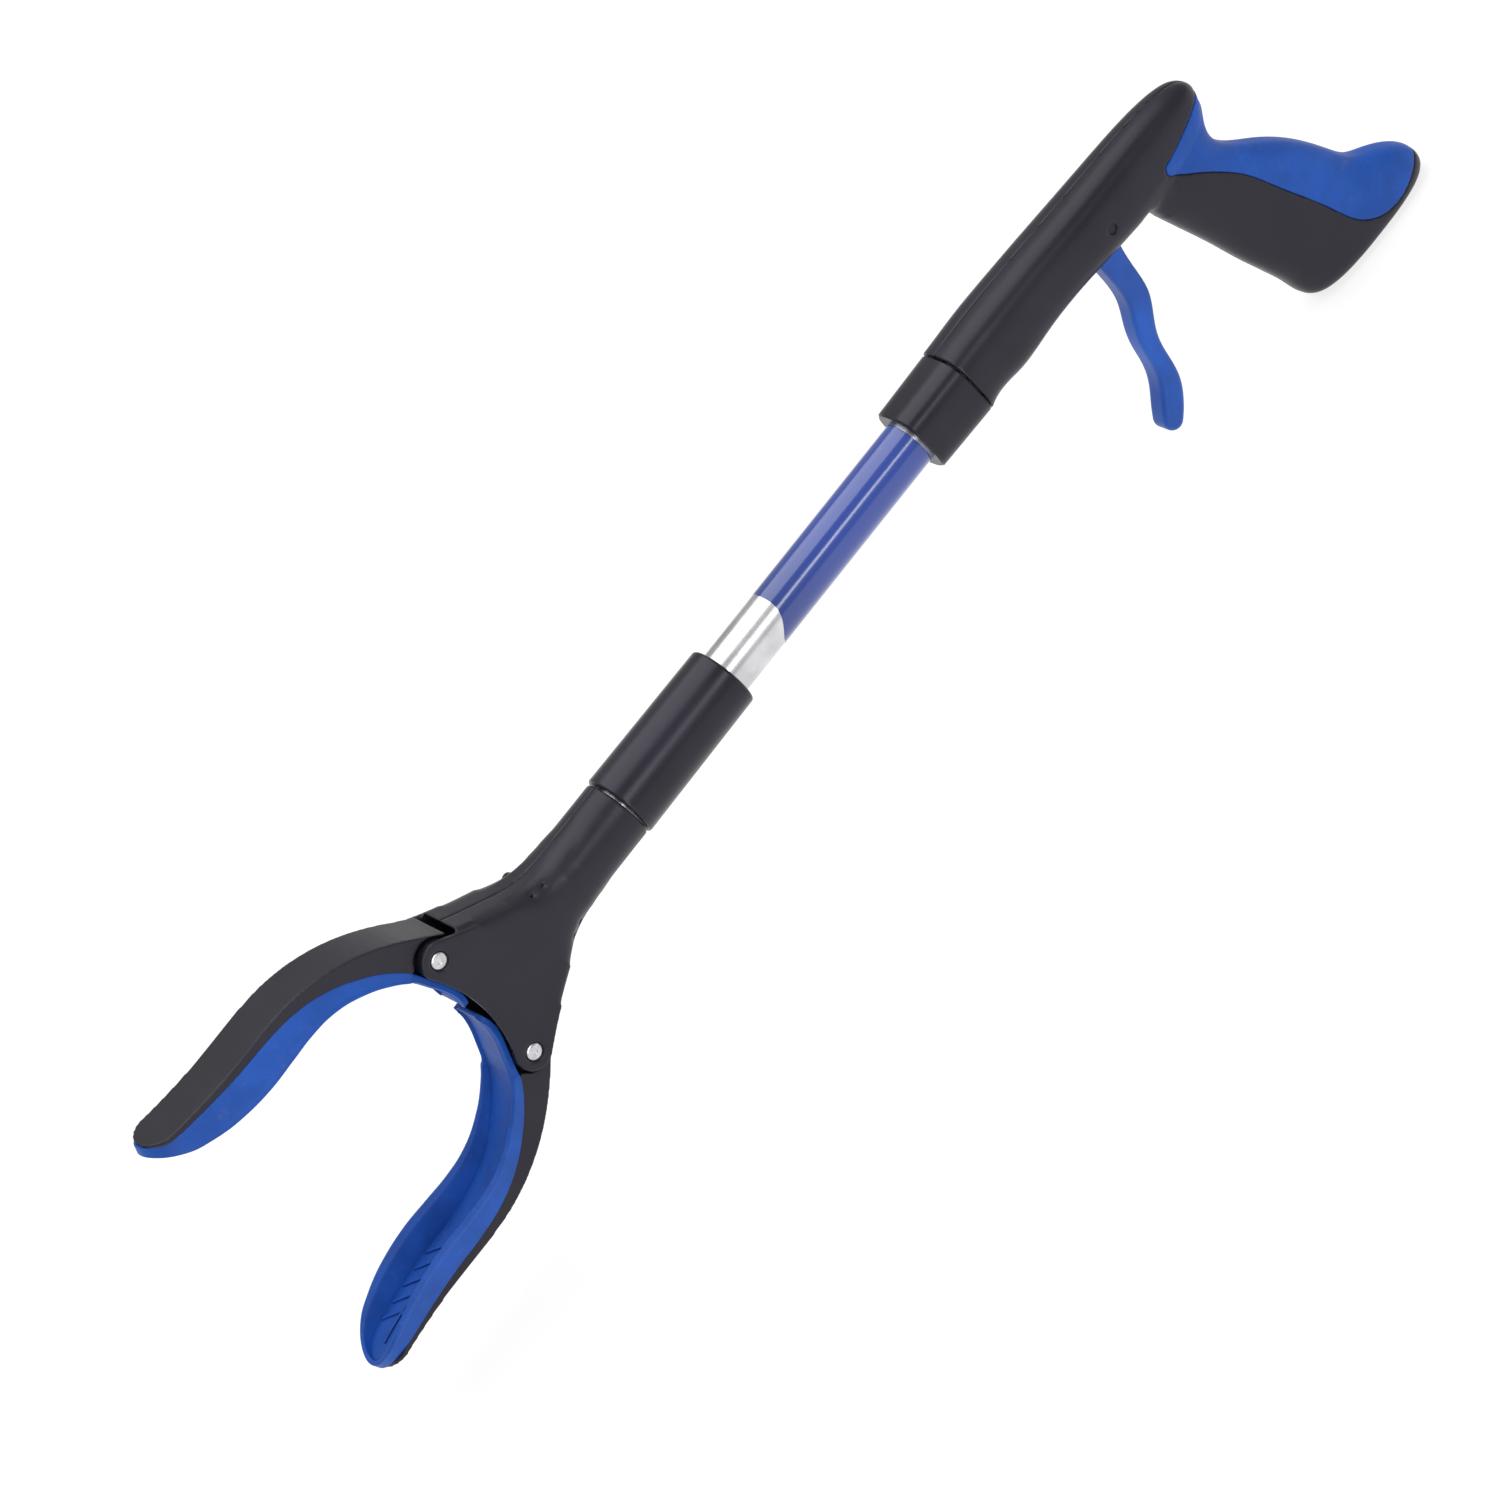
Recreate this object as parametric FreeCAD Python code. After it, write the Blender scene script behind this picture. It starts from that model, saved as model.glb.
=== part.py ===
"""Reacher grabber: pistol handle, push rod in an aluminium tube, two cupped jaws.

Millimetres. X runs along the shaft from the jaws (-X) to the handle (+X), +Z is up and the grip hangs
towards -Z. The origin is on the shaft's axis, above the middle of the grip's root.
"""
import FreeCAD
import Part
import math
import os

V = FreeCAD.Vector
X_AXIS = V(1, 0, 0)
Y_AXIS = V(0, 1, 0)
Z_AXIS = V(0, 0, 1)

# ---- driving dimensions -------------------------------------------------------------------------
RUNNING_GAP = 0.05        # radial, for a shaft that turns or slides in its hole
BODY_GAP = 0.5            # between pieces that move past each other
SKIN_GAP = 0.3            # between fixed skins

TUBE_R = 12.7
TUBE_WALL = 1.5
TUBE_FRONT = -425.0
TUBE_REAR = -108.0
LABEL_THICK = 0.15
LABEL_FRONT = -287.0
LABEL_WAVE = 7.0

BARREL_FRONT = -141.0
BARREL_HALF_WIDTH = 17.8
SHELL_WALL = 2.6
PAD_THICK = 2.2
PAD_FRONT = -4.2
GRIP_HALF_WIDTH = 14.0
BUTT_HALF_WIDTH = 16.0
BUTT_Z = -126.5

COLLAR_LENGTH = 36.0
COLLAR_HALF_FRONT = 17.0
COLLAR_HALF_REAR = 17.6
COLLAR_GAP = 0.8
COLLAR_RIM = 1.0

TRIGGER_X = -42.0
TRIGGER_Z = -4.0
TRIGGER_WIDTH = 15.0
TRIGGER_EDGE_R = 3.6
TRIGGER_ANGLE = math.radians(28.0)
LEVER_ARM = 13.0
LEVER_WIDTH = 8.0
TRIGGER_PIN_R = 2.5
TRIGGER_BUSH_R = 4.0
HUB_R = 8.0
HUB_SIDE_R = 5.8
YOKE_PIN_R = 2.0
YOKE_CHEEK = 3.0

ROD_R = 3.0
ROD_STROKE = LEVER_ARM * TRIGGER_ANGLE
YOKE_FRONT = -76.0
GUIDE_FLANGE = 2.0
SPRING_MEAN_R = 5.6
SPRING_WIRE_R = 0.7
SPRING_TURNS = 6

SLEEVE_REAR = -316.6
SLEEVE_FRONT = -394.6
SLEEVE_R_REAR = 17.5
SLEEVE_R_FRONT = 18.2
NECK_R = 17.3
NECK_GAP = 0.9
THROAT_R = 7.2

PIVOT_X = -506.0
PIVOT_Z = 35.5
HEAD_CORE_HALF = 14.7
HEAD_PLATE_HALF = 18.5
HEAD_WALL = 2.5
LOBE_R = 9.4
PLATE_HOLLOW = 1.7
ROOT_GAP = 0.5
LOBE_INNER_HALF = 10.8
JAW_LOBE_HALF = 10.4
JAW_HALF_WIDTH = 14.4
JAW_RECESS_R = 10.9
JAW_LOBE_R = 8.8
JAW_ROOT_R = 12.5
JAW_ANGLE = math.radians(29.5)
RIVET_R = 2.5
RIVET_HEAD_R = 4.0
RIVET_HEAD_DEEP = 2.2
RIVET_RECESS = 0.7
COUNTERBORE_R = 4.9
JAW_BUSH_R = 4.2

ARM_X = 21.0
ARM_WIDTH = 8.4
ARM_THICK = 4.4
CROSSHEAD_HALF = 2.6
CAM_PIN_R = 2.0
CAM_WALL = 2.4

PAD_FLOOR = 3.0
PAD_WALL = 2.8
TONGUE_HALF_WIDTH = 13.8
PAD_ROOT_HALF_WIDTH = 15.0
PAD_RIM_HALF_WIDTH = 18.0

SCREW_R = 1.6
SCREW_HEAD_R = 3.2
SCREW_HEAD_DEEP = 2.0
BOSS_R = 3.6
CROSS_PIN_R = 1.5
TUBE_PIN_INSET = 7.0
TUBE_PIN_DEEP = 4.5
TUBE_PIN_PROUD = 1.6


# ---- helpers ------------------------------------------------------------------------------------
def rod_x(x0, x1, radius, y=0.0, z=0.0):
    return Part.makeCylinder(radius, x1 - x0, V(x0, y, z), X_AXIS)


def rod_y(x, z, y0, y1, radius):
    return Part.makeCylinder(radius, y1 - y0, V(x, y0, z), Y_AXIS)


def rod_z(x, y, z0, z1, radius):
    return Part.makeCylinder(radius, z1 - z0, V(x, y, z0), Z_AXIS)


def block(x0, x1, y0, y1, z0, z1):
    return Part.makeBox(x1 - x0, y1 - y0, z1 - z0, V(x0, y0, z0))


def spline(points, y=0.0):
    """A smooth open curve in the XZ plane."""
    curve = Part.BSplineCurve()
    curve.interpolate([V(x, y, z) for x, z in points])
    return curve


def prism(edges, y0, y1):
    """The closed outline of XZ edges, drawn at y = 0, made solid from y0 to y1."""
    face = Part.Face(Part.Wire(Part.__sortEdges__(edges)))
    face.translate(V(0, y0, 0))
    return face.extrude(V(0, y1 - y0, 0))


def polygon(points):
    corners = [V(x, 0, z) for x, z in points]
    return Part.makePolygon(corners + corners[:1]).Edges


def capsule(x0, z0, x1, z1, radius, y0, y1):
    """A straight bar with round ends, lying across Y."""
    along = V(x1 - x0, 0, z1 - z0)
    side = V(-along.z, 0, along.x).normalize() * radius
    start = V(x0, 0, z0)
    end = V(x1, 0, z1)
    bar = prism(Part.makePolygon([start + side, end + side, end - side, start - side, start + side]).Edges, y0, y1)
    return bar.fuse([rod_y(x0, z0, y0, y1, radius), rod_y(x1, z1, y0, y1, radius)]).removeSplitter()


def swept_slot(path, radius, y0, y1):
    """The room that a round pin needs as its centre runs along the path."""
    bars = [capsule(a[0], a[1], b[0], b[1], radius, y0, y1) for a, b in zip(path, path[1:])]
    return bars[0].fuse(bars[1:]).removeSplitter()


def squircle(half_a, half_b, power, count=20):
    """Points of |a|^n + |b|^n = 1, stretched to the two half sizes."""
    points = []
    for step in range(count):
        angle = 2 * math.pi * step / count
        cosine = math.cos(angle)
        sine = math.sin(angle)
        a = math.copysign(abs(cosine) ** (2 / power), cosine) * half_a
        b = math.copysign(abs(sine) ** (2 / power), sine) * half_b
        points.append((a, b))
    return points


def closed_spline(points):
    curve = Part.BSplineCurve()
    curve.interpolate(points, True)
    return Part.Wire(curve.toShape())


def section_across_x(x, z_top, z_bottom, half_width, power, inset=0.0):
    half_height = (z_top - z_bottom) / 2 - inset
    middle = (z_top + z_bottom) / 2
    return closed_spline([V(x, a, middle + b) for a, b in squircle(half_width - inset, half_height, power)])


def section_across_z(z, x_front, x_rear, half_width, power, inset=0.0):
    half_length = (x_rear - x_front) / 2 - inset
    middle = (x_front + x_rear) / 2
    return closed_spline([V(middle + a, b, z) for a, b in squircle(half_length, half_width - inset, power)])


def mirrored_z(shape):
    return shape.mirror(V(0, 0, 0), Z_AXIS)


def save(name, shape):
    solids = shape.Solids
    whole = solids[0] if len(solids) == 1 else Part.makeCompound(solids)
    whole.exportStep("parts/" + name + ".step")


# ---- handle form --------------------------------------------------------------------------------
def barrel_form(inset):
    """x, top, bottom and half width of the barrel, from the collar to its domed rear end."""
    width = BARREL_HALF_WIDTH
    stations = [
        (BARREL_FRONT, 19.2, -18.6, width),
        (-118, 19.9, -17.6, width),
        (-96, 19.6, -16.6, width - 0.4),
        (-70, 18.7, -16.6, width - 0.8),
        (-41, 17.5, -19.0, width - 1.2),
        (-12, 16.6, -21.0, width - 2.2),
        (14, 14.6, -19.0, width - 4.0),
        (26, 12.2, -13.0, width - 6.4),
        (33, 9.0, -5.0, width - 10.0),
    ]
    end = inset * 1.6
    wires = []
    for x, top, bottom, half in stations:
        if x <= 33 - end:
            wires.append(section_across_x(x, top, bottom, half, 2.8, inset))
    if inset == 0:
        wires.append(section_across_x(36.5, 4.6, 0.6, 2.2, 2.2))
    return Part.makeLoft(wires, True)


def grip_form(inset):
    """z, front, rear and half width of the grip, from inside the barrel down to the butt."""
    wide = GRIP_HALF_WIDTH
    butt = BUTT_HALF_WIDTH
    stations = [
        (-2, -18, 34.5, wide - 3.0),
        (-11, -20, 31.0, wide - 1.4),
        (-21, -20, 27.0, wide - 0.4),
        (-30, -17.5, 29.5, wide),
        (-47, -12, 45.0, wide),
        (-64, -6.6, 58.0, wide + 0.2),
        (-82, -1.5, 67.0, wide + 0.6),
        (-92, 1.8, 73.0, wide + 1.0),
        (-100, 4.4, 84.0, wide + 1.4),
        (-108, 6.8, 93.0, butt - 0.2),
        (-116, 8.6, 97.0, butt),
        (-121.5, 11.0, 96.5, butt - 0.6),
        (BUTT_Z + 1.0, 17.0, 92.0, butt - 3.0),
        (BUTT_Z, 24.0, 84.0, butt - 6.5),
    ]
    wires = []
    for z, front, rear, half in stations:
        if z >= BUTT_Z + inset * 2:
            wires.append(section_across_z(z, front, rear, half, 2.6, inset))
    return Part.makeLoft(wires, True)


def handle_form(inset):
    return barrel_form(inset).fuse(grip_form(inset)).removeSplitter()


def pad_region():
    """Side view of what the soft pad covers: the barrel's rear edge and the back of the grip."""
    lower = spline([(-3, -13), (6, -22), (15, -32), (25, -47), (31.5, -63), (38, -79), (44, -95),
                    (49, -108), (55.5, -115.4), (63, -119.4), (71, -120.8), (80, -120.0), (89, -117.6), (110, -109)])
    top = Part.LineSegment(V(60, 0, 6), V(0.5, 0, -6.2))
    corner = Part.Arc(V(0.5, 0, -6.2), V(PAD_FRONT, 0, -9.0), V(-3, 0, -13))
    rear = Part.LineSegment(V(110, 0, -109), V(60, 0, 6))
    return prism([lower.toShape(), top.toShape(), corner.toShape(), rear.toShape()], -30, 30)


SCREW_SPOTS = [(-97.0, 12.2), (-90.0, -10.2), (-12.0, 7.0), (8.0, -62.0), (44.0, -108.0)]


def handle_pieces():
    outer = handle_form(0)
    under_pad = handle_form(PAD_THICK)
    region = pad_region()
    pad = outer.common(region).cut(under_pad)
    body = outer.cut(region).fuse(under_pad.common(region)).cut(handle_form(PAD_THICK + SHELL_WALL))
    body = body.cut(barrel_form(SHELL_WALL).common(block(-300, PAD_FRONT - SHELL_WALL, -40, 40, -40, 40)))

    seat = rod_x(BARREL_FRONT - 1, TUBE_REAR + 4, TUBE_R + 2.4).common(outer)
    web_front = block(BARREL_FRONT, BARREL_FRONT + 3, -30, 30, -30, 30).common(outer)
    web_rear = block(TUBE_REAR + 2, TUBE_REAR + 5, -30, 30, -30, 30).common(outer)
    bosses = []
    for x, z in SCREW_SPOTS:
        bosses.append(rod_y(x, z, -30, 30, BOSS_R).common(outer))
    bosses.append(rod_y(TRIGGER_X, TRIGGER_Z, -30, -TRIGGER_WIDTH / 2 - BODY_GAP, 5.0).common(outer))
    bosses.append(rod_y(TRIGGER_X, TRIGGER_Z, TRIGGER_WIDTH / 2 + BODY_GAP, 30, 5.0).common(outer))
    body = body.fuse([seat, web_front, web_rear] + bosses)

    body = body.cut(rod_x(BARREL_FRONT - 2, TUBE_REAR + GUIDE_FLANGE, TUBE_R))
    body = body.cut(rod_x(TUBE_REAR - 1, TUBE_REAR + 6, SPRING_MEAN_R + SPRING_WIRE_R + 1.6))
    slot_half = TRIGGER_WIDTH / 2 + BODY_GAP
    body = body.cut(block(TRIGGER_X - 21, TRIGGER_X + 21, -slot_half, slot_half, -24, -9))
    body = body.cut(rod_y(TRIGGER_X, TRIGGER_Z, -30, 30, TRIGGER_PIN_R))
    cutters = []
    for x, z in SCREW_SPOTS:
        depth = screw_face(outer, x, z)
        cutters.append(rod_y(x, z, -6, depth, SCREW_R))
        cutters.append(rod_y(x, z, depth - SCREW_HEAD_DEEP - 1.4, 30, SCREW_HEAD_R + 0.3))
    body = body.cut(cutters)
    body = body.cut(tube_pins(TUBE_REAR - TUBE_PIN_INSET))
    left = body.common(block(-300, 200, -40, 0, -200, 100))
    right = body.common(block(-300, 200, 0, 40, -200, 100))
    return left, right, pad, outer


def screw_face(outer, x, z):
    """How far the outer skin is from the parting plane at a screw."""
    line = Part.LineSegment(V(x, 0, z), V(x, 60, z)).toShape().common(outer)
    return line.BoundBox.YMax


def handle_screws(outer):
    screws = []
    for x, z in SCREW_SPOTS:
        seat = screw_face(outer, x, z) - SCREW_HEAD_DEEP - 1.4
        head = rod_y(x, z, seat, seat + SCREW_HEAD_DEEP, SCREW_HEAD_R)
        cross = block(x - 1.9, x + 1.9, seat + 0.8, seat + 4, -0.45, 0.45)
        cross = cross.fuse(block(x - 0.45, x + 0.45, seat + 0.8, seat + 4, -1.9, 1.9))
        cross.translate(V(0, 0, z))
        screws.append(rod_y(x, z, -6, seat, SCREW_R).fuse(head).cut(cross))
    return Part.makeCompound(screws)


# ---- shaft --------------------------------------------------------------------------------------
def tube_pins(x):
    """Two short pins that lock the tube's end and its plug to the shells."""
    low = TUBE_R - TUBE_PIN_DEEP
    high = TUBE_R + TUBE_PIN_PROUD
    return Part.makeCompound([rod_z(x, 0, low, high, CROSS_PIN_R), rod_z(x, 0, -high, -low, CROSS_PIN_R)])


def shaft_tube():
    tube = rod_x(TUBE_FRONT, TUBE_REAR, TUBE_R).cut(rod_x(TUBE_FRONT - 1, TUBE_REAR + 1, TUBE_R - TUBE_WALL))
    tube = tube.cut(tube_pins(TUBE_REAR - TUBE_PIN_INSET))
    return tube.cut(tube_pins(TUBE_FRONT + TUBE_PIN_INSET))


def tube_label():
    rear = BARREL_FRONT - COLLAR_LENGTH - COLLAR_GAP
    sheet = rod_x(LABEL_FRONT, rear, TUBE_R + LABEL_THICK).cut(rod_x(LABEL_FRONT - 1, rear + 1, TUBE_R))
    tall = TUBE_R + 3
    wave = spline([(LABEL_FRONT + LABEL_WAVE, tall), (LABEL_FRONT + LABEL_WAVE * 0.9, 4),
                   (LABEL_FRONT + LABEL_WAVE * 0.2, -4), (LABEL_FRONT, -tall)])
    front = LABEL_FRONT - 20
    edges = [wave.toShape()]
    edges.append(Part.LineSegment(V(LABEL_FRONT, 0, -tall), V(front, 0, -tall)).toShape())
    edges.append(Part.LineSegment(V(front, 0, -tall), V(front, 0, tall)).toShape())
    edges.append(Part.LineSegment(V(front, 0, tall), V(LABEL_FRONT + LABEL_WAVE, 0, tall)).toShape())
    return sheet.cut(prism(edges, -tall, tall))


def handle_collar():
    front = BARREL_FRONT - COLLAR_LENGTH
    rear = BARREL_FRONT - COLLAR_GAP
    stations = [(front, COLLAR_HALF_FRONT - COLLAR_RIM), (front + COLLAR_RIM, COLLAR_HALF_FRONT),
                (rear - COLLAR_RIM / 2, COLLAR_HALF_REAR), (rear, COLLAR_HALF_REAR - COLLAR_RIM / 2)]
    wires = [section_across_x(x, half + 0.4, -half - 0.4, half, 3.0) for x, half in stations]
    collar = Part.makeLoft(wires, True, True)
    return collar.cut(rod_x(front - 1, rear + 1, TUBE_R))


def head_sleeve():
    sleeve = Part.makeCone(SLEEVE_R_FRONT, SLEEVE_R_REAR, SLEEVE_REAR - SLEEVE_FRONT, V(SLEEVE_FRONT, 0, 0), X_AXIS)
    rims = [edge for edge in sleeve.Edges if edge.BoundBox.XLength < 0.01]
    sleeve = sleeve.makeFillet(1.5, rims)
    return sleeve.cut(rod_x(SLEEVE_FRONT - 1, SLEEVE_REAR + 1, TUBE_R))


def rod_guide(outer_end, inward):
    """A plug with a flange, in one end of the tube. The rod slides through it."""
    plug_length = 12.0
    bore = TUBE_R - TUBE_WALL
    low = min(outer_end, outer_end + inward * plug_length)
    flange_low = min(outer_end, outer_end - inward * GUIDE_FLANGE)
    plug = rod_x(low, low + plug_length, bore)
    plug = plug.fuse(rod_x(flange_low, flange_low + GUIDE_FLANGE, TUBE_R - SKIN_GAP)).removeSplitter()
    plug = plug.cut(tube_pins(outer_end + inward * TUBE_PIN_INSET))
    return plug.cut(rod_x(low - 5, low + plug_length + 5, ROD_R + RUNNING_GAP))


def return_spring(x0, x1):
    wire = SPRING_WIRE_R
    length = x1 - x0 - 2 * wire
    helix = Part.makeHelix(length / SPRING_TURNS, length, SPRING_MEAN_R)
    profile = Part.Wire(Part.makeCircle(wire, V(SPRING_MEAN_R, 0, 0), Y_AXIS))
    coil = Part.Wire(helix.Edges).makePipeShell([profile], True, True)
    coil.rotate(V(0, 0, 0), Y_AXIS, 90)
    coil.translate(V(x0 + wire, 0, 0))
    return coil


# ---- push rod and its ends ----------------------------------------------------------------------
YOKE_PIN_X = TRIGGER_X + ROD_STROKE / 2
YOKE_PIN_Z = TRIGGER_Z + LEVER_ARM
YOKE_SOCKET = 18.0
CROSSHEAD_BOSS_FRONT = -462.0
CROSSHEAD_BOSS_REAR = -438.0
ROD_INSERT = 14.0


def push_rod():
    rod = rod_x(CROSSHEAD_BOSS_REAR - ROD_INSERT, YOKE_FRONT + YOKE_SOCKET - 4, ROD_R)
    rod = rod.cut(rod_y(CROSSHEAD_BOSS_REAR - 7, 0, -10, 10, CROSS_PIN_R))
    return rod.cut(rod_y(YOKE_FRONT + 7, 0, -10, 10, CROSS_PIN_R))


def rod_yoke():
    cheek_in = LEVER_WIDTH / 2 + 0.4
    cheek_out = cheek_in + YOKE_CHEEK
    socket = rod_x(YOKE_FRONT, YOKE_FRONT + YOKE_SOCKET, ROD_R + 3.2)
    root_x = YOKE_FRONT + YOKE_SOCKET - 5
    bridge = capsule(root_x, 0, root_x + 4, 2, 5.0, -cheek_out, cheek_out)
    yoke = socket.fuse(bridge)
    for y0, y1 in [(-cheek_out, -cheek_in), (cheek_in, cheek_out)]:
        yoke = yoke.fuse(capsule(root_x + 4, 3, YOKE_PIN_X, YOKE_PIN_Z, YOKE_PIN_R + 2.2, y0, y1))
    yoke = yoke.cut(rod_x(YOKE_FRONT - 1, YOKE_FRONT + YOKE_SOCKET - 4, ROD_R))
    yoke = yoke.cut(rod_y(YOKE_PIN_X, YOKE_PIN_Z, -20, 20, YOKE_PIN_R))
    return yoke.cut(rod_y(YOKE_FRONT + 7, 0, -20, 20, CROSS_PIN_R))


def yoke_pin():
    reach = LEVER_WIDTH / 2 + 0.4 + YOKE_CHEEK
    return rod_y(YOKE_PIN_X, YOKE_PIN_Z, -reach, reach, YOKE_PIN_R)


def cam_path(steps=10):
    """Where the upper jaw's cam pin lies in the crosshead as the jaws close."""
    path = []
    reach = math.hypot(ARM_X, PIVOT_Z)
    start = math.atan2(-PIVOT_Z, ARM_X)
    for step in range(steps + 1):
        share = step / steps
        angle = start + JAW_ANGLE * share
        x = PIVOT_X + reach * math.cos(angle) + ROD_STROKE * share
        path.append((x, PIVOT_Z + reach * math.sin(angle)))
    return path


def crosshead():
    path = cam_path()
    web = swept_slot(path, CAM_PIN_R + CAM_WALL, -CROSSHEAD_HALF, CROSSHEAD_HALF)
    last_x, last_z = path[-1]
    middle = prism(polygon([(path[0][0], 0), (last_x, last_z), (last_x + 3, last_z - 3), (-450, 3), (-450, 0)]),
                   -CROSSHEAD_HALF, CROSSHEAD_HALF)
    half = web.fuse(middle)
    plate = half.fuse(mirrored_z(half))
    boss = rod_x(CROSSHEAD_BOSS_FRONT, CROSSHEAD_BOSS_REAR, ROD_R + 3.5)
    cam = plate.fuse(boss).removeSplitter()
    slot = swept_slot(path, CAM_PIN_R + 0.06, -20, 20)
    cam = cam.cut([slot, mirrored_z(slot)])
    cam = cam.cut(rod_x(CROSSHEAD_BOSS_REAR - ROD_INSERT, CROSSHEAD_BOSS_REAR + 1, ROD_R))
    return cam.cut(rod_y(CROSSHEAD_BOSS_REAR - 7, 0, -20, 20, CROSS_PIN_R))


# ---- trigger ------------------------------------------------------------------------------------
def lever_path(steps=8):
    """Where the yoke's pin lies in the trigger as it is squeezed."""
    path = []
    for step in range(steps + 1):
        share = step / steps
        angle = TRIGGER_ANGLE * share
        x = ROD_STROKE / 2 - ROD_STROKE * share
        cosine = math.cos(angle)
        sine = math.sin(angle)
        path.append((TRIGGER_X + x * cosine + LEVER_ARM * sine, TRIGGER_Z - x * sine + LEVER_ARM * cosine))
    return path


def trigger():
    rear = spline([(-38.5, -12), (-41, -20), (-43.2, -33), (-46.3, -49), (-51.5, -58), (-57, -67.5),
                   (-60, -80), (-62.8, -91.5), (-69, -101.5), (-76, -108.5)])
    front = spline([(-53.6, -10), (-55.9, -21), (-56.3, -33), (-58.2, -44.6), (-64.2, -57), (-67.6, -67),
                    (-69.4, -76.5), (-73.0, -86), (-79.0, -94.5), (-83.5, -101)])
    tip = Part.Arc(V(-76, 0, -108.5), V(-82.8, 0, -108.6), V(-83.5, 0, -101))
    crown = Part.LineSegment(V(-38.5, 0, -12), V(-53.6, 0, -10))
    half = TRIGGER_WIDTH / 2
    lever = prism([rear.toShape(), front.toShape(), tip.toShape(), crown.toShape()], -half, half)
    long_edges = [edge for edge in lever.Edges if edge.BoundBox.YLength < 0.01 and edge.BoundBox.ZMin < -15]
    lever = lever.makeFillet(TRIGGER_EDGE_R, long_edges)
    slim = LEVER_WIDTH / 2
    hub = rod_y(TRIGGER_X, TRIGGER_Z, -half, half, HUB_SIDE_R).fuse(rod_y(TRIGGER_X, TRIGGER_Z, -slim, slim, HUB_R))
    neck = prism(polygon([(TRIGGER_X + 6, TRIGGER_Z), (-39, -16), (-54.5, -16), (TRIGGER_X - 7, TRIGGER_Z)]), -half, half)
    path = lever_path()
    ear = swept_slot(path, YOKE_PIN_R + 2.4, -slim, slim)
    arm = capsule(TRIGGER_X, TRIGGER_Z, TRIGGER_X + 1.5, TRIGGER_Z + LEVER_ARM, YOKE_PIN_R + 3.0, -slim, slim)
    whole = lever.fuse([hub, neck, ear, arm]).removeSplitter()
    whole = whole.cut(swept_slot(path, YOKE_PIN_R + RUNNING_GAP, -20, 20))
    return whole.cut(rod_y(TRIGGER_X, TRIGGER_Z, -20, 20, TRIGGER_BUSH_R))


def trigger_bush():
    half = TRIGGER_WIDTH / 2
    bush = rod_y(TRIGGER_X, TRIGGER_Z, -half, half, TRIGGER_BUSH_R)
    return bush.cut(rod_y(TRIGGER_X, TRIGGER_Z, -20, 20, TRIGGER_PIN_R + RUNNING_GAP))


# ---- head ---------------------------------------------------------------------------------------
def core_outline():
    """Upper edge of the head's side walls, from the neck to where the jaw begins."""
    return [(-446, 17.3), (-458, 20.8), (-471, 27.2), (-482, 33.2), (-490, 38.0), (-496.5, 42.6)]


def head_core(inset, half):
    low_x, low_z = core_outline()[-1]
    points = [(x, z - inset) for x, z in core_outline()]
    upper = spline(points)
    lower = spline([(x, -z) for x, z in points])
    first = points[0]
    edges = [upper.toShape(), lower.toShape()]
    edges.append(Part.LineSegment(V(first[0], 0, first[1]), V(first[0], 0, -first[1])).toShape())
    end_x = low_x
    end_z = low_z - inset
    nose = (PIVOT_X + 4, 6.0)
    tail = [(end_x, end_z), (PIVOT_X, PIVOT_Z), (PIVOT_X, 24), nose]
    tail += [(x, -z) for x, z in reversed(tail)]
    for a, b in zip(tail, tail[1:]):
        edges.append(Part.LineSegment(V(a[0], 0, a[1]), V(b[0], 0, b[1])).toShape())
    return prism(edges, -half, half)


def head_plate(y0, y1):
    """The flat face of the head, with a round lobe about each pivot and a hollow edge between them."""
    inset = 1.8
    points = [(x, z - inset) for x, z in core_outline()[1:-1]]
    side = LOBE_R * math.sin(math.radians(60))
    rise = LOBE_R * math.cos(math.radians(60))
    lobe_top = (PIVOT_X + rise, PIVOT_Z + side)
    bow = (PLATE_HOLLOW ** 2 + PIVOT_Z ** 2 - LOBE_R ** 2) / (2 * (LOBE_R - PLATE_HOLLOW))
    share = LOBE_R / (bow + LOBE_R)
    lobe_tip = (PIVOT_X - (bow + PLATE_HOLLOW) * share, PIVOT_Z - PIVOT_Z * share)
    upper = spline(points + [(lobe_top[0], lobe_top[1])])
    lower = spline([(x, -z) for x, z in points + [lobe_top]])
    far = (PIVOT_X - LOBE_R * 0.8, PIVOT_Z + LOBE_R * 0.6)
    edges = [upper.toShape(), lower.toShape()]
    edges.append(Part.Arc(V(lobe_top[0], 0, lobe_top[1]), V(far[0], 0, far[1]), V(lobe_tip[0], 0, lobe_tip[1])).toShape())
    edges.append(Part.Arc(V(lobe_top[0], 0, -lobe_top[1]), V(far[0], 0, -far[1]), V(lobe_tip[0], 0, -lobe_tip[1])).toShape())
    hollow = Part.Arc(V(lobe_tip[0], 0, lobe_tip[1]), V(PIVOT_X - PLATE_HOLLOW, 0, 0), V(lobe_tip[0], 0, -lobe_tip[1]))
    edges.append(hollow.toShape())
    edges.append(Part.LineSegment(V(points[0][0], 0, points[0][1]), V(points[0][0], 0, -points[0][1])).toShape())
    return prism(edges, y0, y1)


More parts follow.
